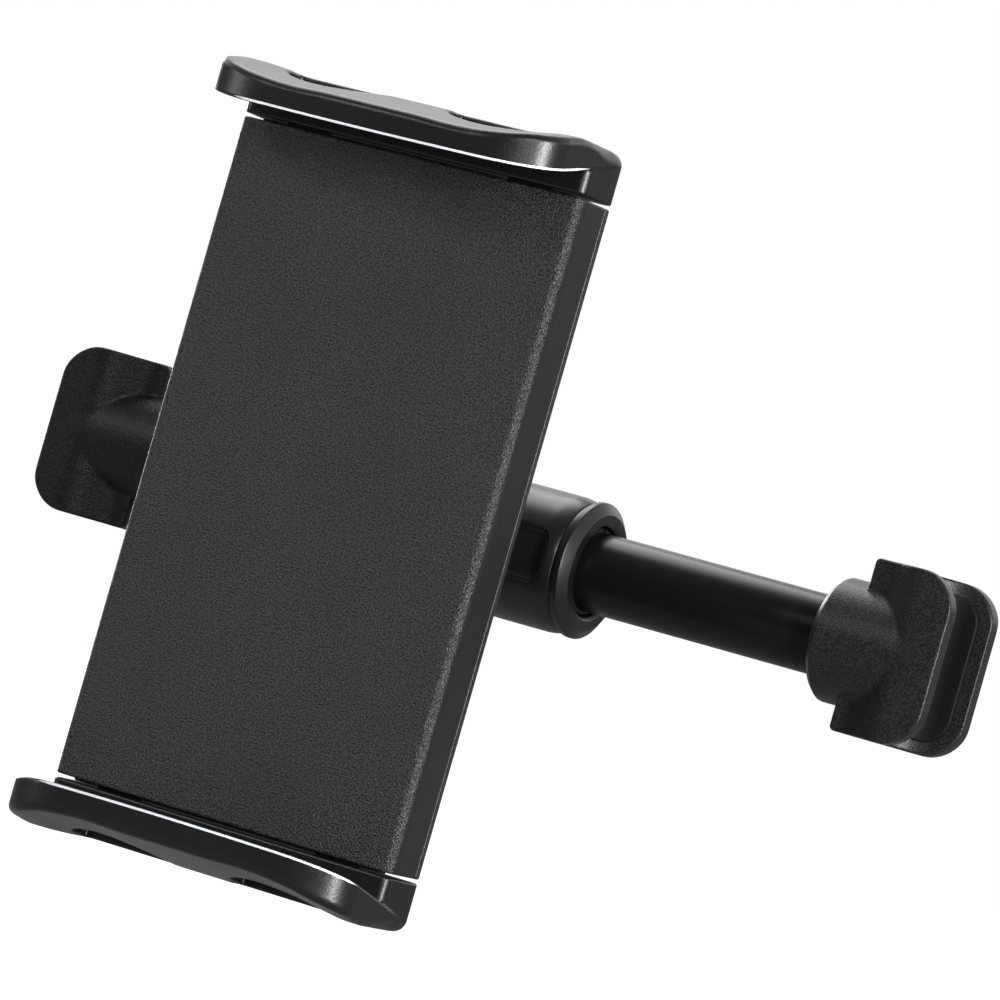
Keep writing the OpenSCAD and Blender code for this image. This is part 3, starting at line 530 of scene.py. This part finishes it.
# Hooks: a fork around the post, flared down to its root, and the round fitting that takes the bar
hook = {"span": 177.0, "reach": 4.6, "root": 14.2, "half": 15.7, "corner": 7.5, "forkHalf": 11.3, "flare": 5.2,
        "shoulder": 0.8, "slot": 8.2, "fittingEnd": 20.8, "chamfer": 1.3, "bore": 7.36, "boreStart": 12.2,
        "screwAt": 16.3, "screwR": 2.0, "edge": 0.35, "blend": 0.3, "liner": 1.2, "border": 2.4, "step": 0.35}


def hookFace(u, z, inset=0.0):
    # outline seen from the front: large outer corners
    k = hook
    return bothInside(np.abs(z) - k["half"] + inset, -k["reach"] + inset - u, k["corner"] - inset)


def slotField(u, y, r):
    return np.where(u > 0, np.hypot(u, y), np.abs(y)) - r


def hookField(mirrored):
    def field(x, y, z):
        k = hook
        u = k["span"] - x if mirrored else x
        t = (u - k["shoulder"]) / (k["root"] - k["shoulder"])
        t = np.clip(t, 0, 1)
        depth = k["forkHalf"] - k["flare"] * t**3 * (10 - 15 * t + 6 * t * t)
        steep = 30 * (t * (1 - t)) ** 2 * k["flare"] / (k["root"] - k["shoulder"])
        plan = (np.abs(y) - depth) / np.sqrt(1 + steep**2)
        plan = bothInside(plan, -k["reach"] - u, 0.7)
        face = bothInside(hookFace(u, z), u - k["root"], 1.0)
        block = bothInside(face, plan, k["edge"])
        rho = np.hypot(y, z)
        long = u - k["fittingEnd"]
        cone = (rho - k["forkHalf"] + long + k["chamfer"]) * 0.7071
        fitting = bothInside(bothInside(rho - k["forkHalf"], cone, 0.15), long, 0.15)
        body = eitherInside(block, np.maximum(fitting, -u), k["blend"])
        body = bothInside(body, -slotField(u, y, k["slot"]), 0.5)
        body = bothInside(body, -bothInside(rho - k["bore"], k["boreStart"] - u, 0.3), 0.3)
        screw = np.maximum(np.hypot(u - k["screwAt"], z) - k["screwR"] - 0.05, -y)
        return bothInside(body, -screw, 0.25)
    return field


def linerField(mirrored):
    def field(x, y, z):
        k = hook
        u = k["span"] - x if mirrored else x
        shell = bothInside(slotField(u, y, k["slot"]), -slotField(u, y, k["slot"] - k["liner"]), 0.25)
        return bothInside(shell, hookFace(u, z, k["border"]), 0.35)
    return field


def makeHook(side, body, mirrored):
    k = hook
    ends = (-k["reach"], k["fittingEnd"])
    if mirrored:
        ends = (k["span"] - k["fittingEnd"], k["span"] + k["reach"])
    fine = 0.55 * k["step"]
    rims = [(ends[0], ends[0] + 1.3), (ends[1] - 1.6, ends[1])]
    axes = [positions(*ends, fine, k["step"], *rims)]
    axes += [positions(-d, d, fine, k["step"], (-d, -d + 1.0), (d - 1.0, d)) for d in (k["forkHalf"], k["half"])]
    meshPiece(side + "_hook_body", *levelSurface(hookField(mirrored), axes), body, "hook_plastic", (side + "_hook",))
    meshPiece(side + "_hook_lining", *levelSurface(linerField(mirrored), axes), body, "liner_rubber",
              (side + "_hook_liner",))


makeHook("left", "crossbar", False)
makeHook("right", "extension", True)


# Crossbar: sleeve with its boss, collar with three finger pockets, cap and rod; the crossbar's collet is not rebuilt
# here
bar = {"sleeveR": 12.6, "sleeveStart": 20.8, "sleeveEnd": 90.6, "journalR": 9.08, "journalEnd": 98.0, "bore": 7.38,
       "boreStart": 25.5, "bossX": 82.0, "bossR": 7.5, "bossTop": 19.0, "collarStart": 91.0, "collarEnd": 105.0,
       "pocketAt": 98.5, "pocketHalf": (4.5, 5.0), "pocketDepth": 2.3, "rodR": 7.3, "rodInnerR": 5.8, "rodStart": 75,
       "rodEnd": 164.8}


def sleeveField(x, y, z):
    b = bar
    rho = np.hypot(y, z)
    body = bothInside(rho - b["sleeveR"], x - b["sleeveEnd"], 0.45)
    body = bothInside(body, b["sleeveStart"] - x, 1.0)
    boss = bothInside(np.hypot(x - b["bossX"], z) - b["bossR"], -y - b["bossTop"], 0.8)
    body = eitherInside(body, np.maximum(boss, y), 1.8)
    body = np.minimum(body, bothInside(rho - b["journalR"], x - b["journalEnd"], 0.3))
    return bothInside(body, -np.maximum(rho - b["bore"], b["boreStart"] - x), 0.3)


def collarField(x, y, z):
    b = bar
    rho = np.hypot(y, z)
    bevel = (rho - b["sleeveR"] + 0.35 * (x - b["collarEnd"] + 1.9)) * 0.944
    body = bothInside(bothInside(rho - b["sleeveR"], bevel, 0.5), x - b["collarEnd"], 0.2)
    body = bothInside(body, b["collarStart"] - x, 0.4)
    body = bothInside(body, b["journalR"] + 0.08 - rho, 0.2)
    for turn in (0, 120, 240):
        c, s = math.cos(math.radians(turn)), math.sin(math.radians(turn))
        across, up = -s * y + c * z, -(c * y + s * z)
        pocket = bothInside(np.abs(x - b["pocketAt"]) - b["pocketHalf"][0], np.abs(across) - b["pocketHalf"][1], 2.6)
        pocket = bothInside(pocket, b["sleeveR"] - b["pocketDepth"] - up, 1.5)
        body = bothInside(body, -pocket, 0.5)
    return body


outerR = bar["sleeveR"]
sleeveX = positions(bar["sleeveStart"], bar["journalEnd"], 0.4, 2.2, (20, 23), (24.5, 26.5), (70, 99))
meshPiece("sleeve_body", *levelSurface(sleeveField, [sleeveX, evenly(-bar["bossTop"], outerR, 0.45),
                                                     evenly(-outerR, outerR, 0.45)]),
          "crossbar", "bar_plastic", ("outer_sleeve",))
meshPiece("collar_body", *levelSurface(collarField, [evenly(bar["collarStart"], bar["collarEnd"], 0.35),
                                                     evenly(-outerR, outerR, 0.4), evenly(-outerR, outerR, 0.4)]),
          "collar", "bar_plastic", ("lock_collar",))


# Turned piece: a closed outline of (distance along, radius) spun about an axis, with its corners rounded first
def turnedPiece(name, outline, origin, axis, body, slot, replaces=(), rounding=0.3, count=128):
    outline = np.array(outline, float)
    soft = []
    for i, p in enumerate(outline):
        a, b = outline[i - 1] - p, outline[(i + 1) % len(outline)] - p
        la, lb = np.linalg.norm(a), np.linalg.norm(b)
        r = min(rounding, 0.45 * la, 0.45 * lb)
        if p[1] < 0.01 or r < 0.02:
            soft.append(p)
            continue
        start, end = p + a / la * r, p + b / lb * r
        for t in (0, 0.25, 0.5, 0.75, 1):
            soft.append((1 - t) ** 2 * start + 2 * t * (1 - t) * p + t * t * end)
    soft = np.array(soft)
    angles = np.linspace(0, 2 * math.pi, count, endpoint=False)
    n = len(soft)
    along = np.repeat(soft[:, :1], count, 1)
    out = np.repeat(soft[:, 1:], count, 1)
    c, s = np.cos(angles)[None], np.sin(angles)[None]
    if axis == "x":
        points = np.stack([along, out * c, out * s], 2)
    else:
        points = np.stack([out * s, along, out * c], 2)
    points = points.reshape(-1, 3) + np.array(origin)
    faces = []
    for i in range(n):
        j = (i + 1) % n
        if soft[i][1] < 0.01 and soft[j][1] < 0.01:
            continue
        k = np.arange(count)
        m = (k + 1) % count
        faces.append(np.stack([i * count + k, i * count + m, j * count + m, j * count + k], 1))
    mesh = bpy.data.meshes.new(name)
    mesh.from_pydata((points * mm).tolist(), [], np.concatenate(faces).tolist())
    work = bmesh.new()
    work.from_mesh(mesh)
    bmesh.ops.remove_doubles(work, verts=work.verts, dist=1e-6)
    bmesh.ops.recalc_face_normals(work, faces=work.faces)
    work.to_mesh(mesh)
    work.free()
    mesh.polygons.foreach_set("use_smooth", np.full(len(mesh.polygons), True))
    mesh.set_sharp_from_angle(angle=math.radians(38))
    addPiece(name, mesh, body, slot, replaces)


turnedPiece("rod_tube", [(bar["rodStart"], bar["rodInnerR"]), (bar["rodStart"], bar["rodR"]),
                         (bar["rodEnd"], bar["rodR"]), (bar["rodEnd"], bar["rodInnerR"])], (0, 0, 0), "x",
            "extension", "rod_paint", ("inner_rod",))
turnedPiece("cap_ring", [(103, 8.4), (103, 10.1), (105, 10.1), (105, 12.0), (105.8, 12.0), (105.8, 12.6),
                         (106.8, 12.6), (108.2, 10.7), (108.2, 8.9), (107.7, 8.4)], (0, 0, 0), "x",
            "collar", "bar_plastic", ("collar_cap",), 0.12)


# Ball joint: the ball with its stem, whose steps are (distance along, radius), and the radius kept free for its cup
ball = {"x": 82.0, "y": -35.0, "r": 8.5, "cupR": 10.6,
        "stem": [(7.55, 4.0), (16, 4.0), (16, 2.95), (23.4, 2.95), (23.4, 0)]}
turnedPiece("ball_and_stem", [(-ball["r"], 0)] + [(-ball["r"] * math.cos(a), ball["r"] * math.sin(a))
                                                  for a in np.radians(np.arange(6, 151, 6))] + ball["stem"],
            (ball["x"], ball["y"], 0), "y", "crossbar", "stud_steel", ("ball_stud",), 0.15)


# Clamp nut with scalloped lobes, measured along from the ball's middle
clampNut = {"r": 16.78, "front": 11.4, "back": 5.6, "bevelAt": 2.1, "lobes": 8, "grooveAt": 18.98, "grooveR": 3.4,
            "bore": 13.5, "boreEnd": 0.35, "mouthR": 8.9}


def nutField(x, y, z):
    k = clampNut
    x, y = x - ball["x"], y - ball["y"]
    rho = np.hypot(x, z)
    body = bothInside(bothInside(rho - k["r"], y - k["back"], 0.6), -k["front"] - y, 0.7)
    body = bothInside(body, (rho - k["r"] + (y - k["bevelAt"]) * 0.857) * 0.759, 0.8)
    turn = np.arctan2(z, x)
    pitch = 2 * math.pi / k["lobes"]
    local = (turn / pitch - np.floor(turn / pitch) - 0.5) * pitch
    groove = np.hypot(rho * np.cos(local) - k["grooveAt"], rho * np.sin(local)) - k["grooveR"]
    body = bothInside(body, -groove, 0.9)
    inner = np.maximum(rho - k["bore"], y - k["boreEnd"])
    inner = np.minimum(inner, np.sqrt(rho**2 + y**2) - ball["cupR"])
    inner = np.minimum(inner, np.maximum((rho - k["mouthR"] - 0.19 * y) * 0.98, -y))
    return bothInside(body, -inner, 0.3)


# Hexagon nut that locks the stem; y is where its front lies
lockNut = {"y": -22.6, "flat": 6.235, "half": 1.8, "cornerR": 6.9, "bore": 4.03}


def lockNutField(x, y, z):
    k = lockNut
    x, y = x - ball["x"], y - k["y"]
    flat = np.maximum(np.abs(z), np.maximum(np.abs(z * 0.5 + x * 0.866), np.abs(z * 0.5 - x * 0.866)))
    fromMiddle = np.abs(y - k["half"])
    body = bothInside(flat - k["flat"], fromMiddle - k["half"], 0.15)
    rho = np.hypot(x, z)
    body = bothInside(body, (rho - k["cornerR"] + 0.55 * (fromMiddle - 1.3)) * 0.876, 0.1)
    return np.maximum(body, k["bore"] - rho)


# Socket: a square base on the holder's back and a ring round the ball's cup
socket = {"half": 21, "corner": 6.0, "thick": 3.0, "ringR": 12.9, "ringTop": 14.9, "screwAt": 17, "screwR": 2.4,
          "screwFloor": 1.8}


def socketField(x, y, z):
    k = socket
    x, y = x - ball["x"], y - holder["backY"]
    ax, az = np.abs(x), np.abs(z)
    square = bothInside(ax - k["half"], az - k["half"], k["corner"])
    body = bothInside(square, y - k["thick"], 0.8)
    rho = np.hypot(x, z)
    body = eitherInside(body, bothInside(rho - k["ringR"], y - k["ringTop"], 0.4), 0.6)
    body = np.maximum(body, -y)
    ballUp = ball["y"] - holder["backY"]
    body = bothInside(body, ball["cupR"] - np.sqrt(rho**2 + (y - ballUp) ** 2), 0.3)
    screws = np.maximum(np.hypot(ax - k["screwAt"], az - k["screwAt"]) - k["screwR"], k["screwFloor"] - y)
    return bothInside(body, -screws, 0.25)


meshPiece("clamp_nut_body", *levelSurface(nutField, [evenly(65.2, 98.8, 0.4), evenly(-46.4, -29.4, 0.4),
                                                     evenly(-16.8, 16.8, 0.4)]), "nut", "bar_plastic", ("clamp_nut",))
meshPiece("lock_nut_body", *levelSurface(lockNutField, [evenly(74.8, 89.2, 0.25), evenly(-22.6, -19, 0.25),
                                                        evenly(-6.3, 6.3, 0.25)]),
          "crossbar", "screw_steel", ("stud_lock_nut",))
meshPiece("socket_body", *levelSurface(socketField, [evenly(61, 103, 0.45), evenly(-50, -35, 0.4),
                                                     evenly(-21, 21, 0.45)]),
          "holder", "cover_plastic", ("socket_base",))


# Finishes for the CAD nodes that stay: each keeps its mesh
slotOf = {s["node"]: s["material_slot"] for s in frame["record"]["subparts"]}
for name, node in cadNodes.items():
    node.data.materials.clear()
    node.data.materials.append(finishes[slotOf[name]])
print("CAD nodes finished:", len(cadNodes))


# Studio: pale floor, white surroundings, soft lights
def areaLight(name, place, target, size, power):
    data = bpy.data.lights.new(name, "AREA")
    data.shape = "RECTANGLE"
    data.size, data.size_y = size
    data.energy = power
    light = bpy.data.objects.new(name, data)
    bpy.context.scene.collection.objects.link(light)
    light.location = place
    light.rotation_euler = (Vector(target) - Vector(place)).to_track_quat("-Z", "Y").to_euler()


# Each light's place and size in metres, and its power in watts; all of them face the object's middle
middle = (0.085, -0.03, 0.0)
lights = {"topLight": ((-0.33, 0.27, 0.79), (0.6, 0.5), 4), "frontLeft": ((-0.49, -0.97, 0.59), (0.2, 0.2), 1.5),
          "frontRight": ((0.75, -1.1, 0.45), (0.5, 0.5), 4.6), "leftSoft": ((-0.97, -0.55, 0.17), (0.3, 0.3), 1.3),
          "leftRim": ((-0.75, 0.68, 0.2), (0.3, 0.4), 4), "rightStrip": ((1.1, -0.62, 0.12), (0.2, 0.5), 16)}
for name, (place, size, power) in lights.items():
    areaLight(name, place, middle, size, power)

# Surroundings: white behind the object for the camera; for the other rays bright above and behind, dim in front
world = bpy.data.worlds.new("studio")
bpy.context.scene.world = world
world.use_nodes = True
world.node_tree.nodes.clear()
output = addNode(world, "ShaderNodeOutputWorld")
seen = addNode(world, "ShaderNodeBackground", {"Color": (1, 1, 1, 1), "Strength": 1.0})
lit = addNode(world, "ShaderNodeBackground", {"Color": (1, 1, 1, 1)})
heading = addNode(world, "ShaderNodeTexCoord")
parts = addNode(world, "ShaderNodeSeparateXYZ")
link(world, heading, "Generated", parts, "Vector")
rise = addNode(world, "ShaderNodeMapRange", {"From Min": -1.0, "From Max": 1.0})
link(world, parts, "Z", rise, "Value")
heights = addNode(world, "ShaderNodeValToRGB")
stops = [(0.0, 0.25), (0.38, 0.34), (0.5, 0.12), (0.58, 0.3), (0.65, 1.3), (0.72, 1.4),
         (0.8, 0.7), (1.0, 0.6)]
while len(heights.color_ramp.elements) < len(stops):
    heights.color_ramp.elements.new(0.5)
for element, (at, value) in zip(heights.color_ramp.elements, stops):
    element.position = at
    element.color = (value, value, value, 1)
link(world, rise, "Result", heights, "Fac")
toBack = addNode(world, "ShaderNodeMapRange", {"From Min": -0.6, "From Max": 0.35, "To Min": 0.1, "To Max": 1.0},
                 interpolation_type="SMOOTHSTEP")
link(world, parts, "Y", toBack, "Value")
amount = addNode(world, "ShaderNodeMath", operation="MULTIPLY")
link(world, heights, "Color", amount, 0)
link(world, toBack, "Result", amount, 1)
link(world, amount, 0, lit, "Strength")
pick = addNode(world, "ShaderNodeMixShader")
path = addNode(world, "ShaderNodeLightPath")
link(world, path, "Is Camera Ray", pick, 0)
link(world, lit, 0, pick, 1)
link(world, seen, 0, pick, 2)
link(world, pick, 0, output, 0)

# The floor looks white to the camera and is grey to the other rays
floorMesh = bpy.data.meshes.new("floor")
reach, level = 6.0, -0.16
floorMesh.from_pydata([(-reach, -reach, level), (reach, -reach, level), (reach, reach, level), (-reach, reach, level)],
                      [], [(0, 1, 2, 3)])
floor = bpy.data.objects.new("floor", floorMesh)
bpy.context.scene.collection.objects.link(floor)
floorMaterial = newMaterial("pale_floor", 0.6, 0.2)
floorShader = floorMaterial.node_tree.nodes["Principled BSDF"]
floorShader.inputs["Base Color"].default_value = (0.2, 0.2, 0.2, 1)
floorShader.inputs["Emission Color"].default_value = (1, 1, 1, 1)
seenOnly = addNode(floorMaterial, "ShaderNodeLightPath")
link(floorMaterial, seenOnly, "Is Camera Ray", floorShader, "Emission Strength")
floorMesh.materials.append(floorMaterial)
bpy.context.scene.view_settings.view_transform = "Standard"
print("studio lit")
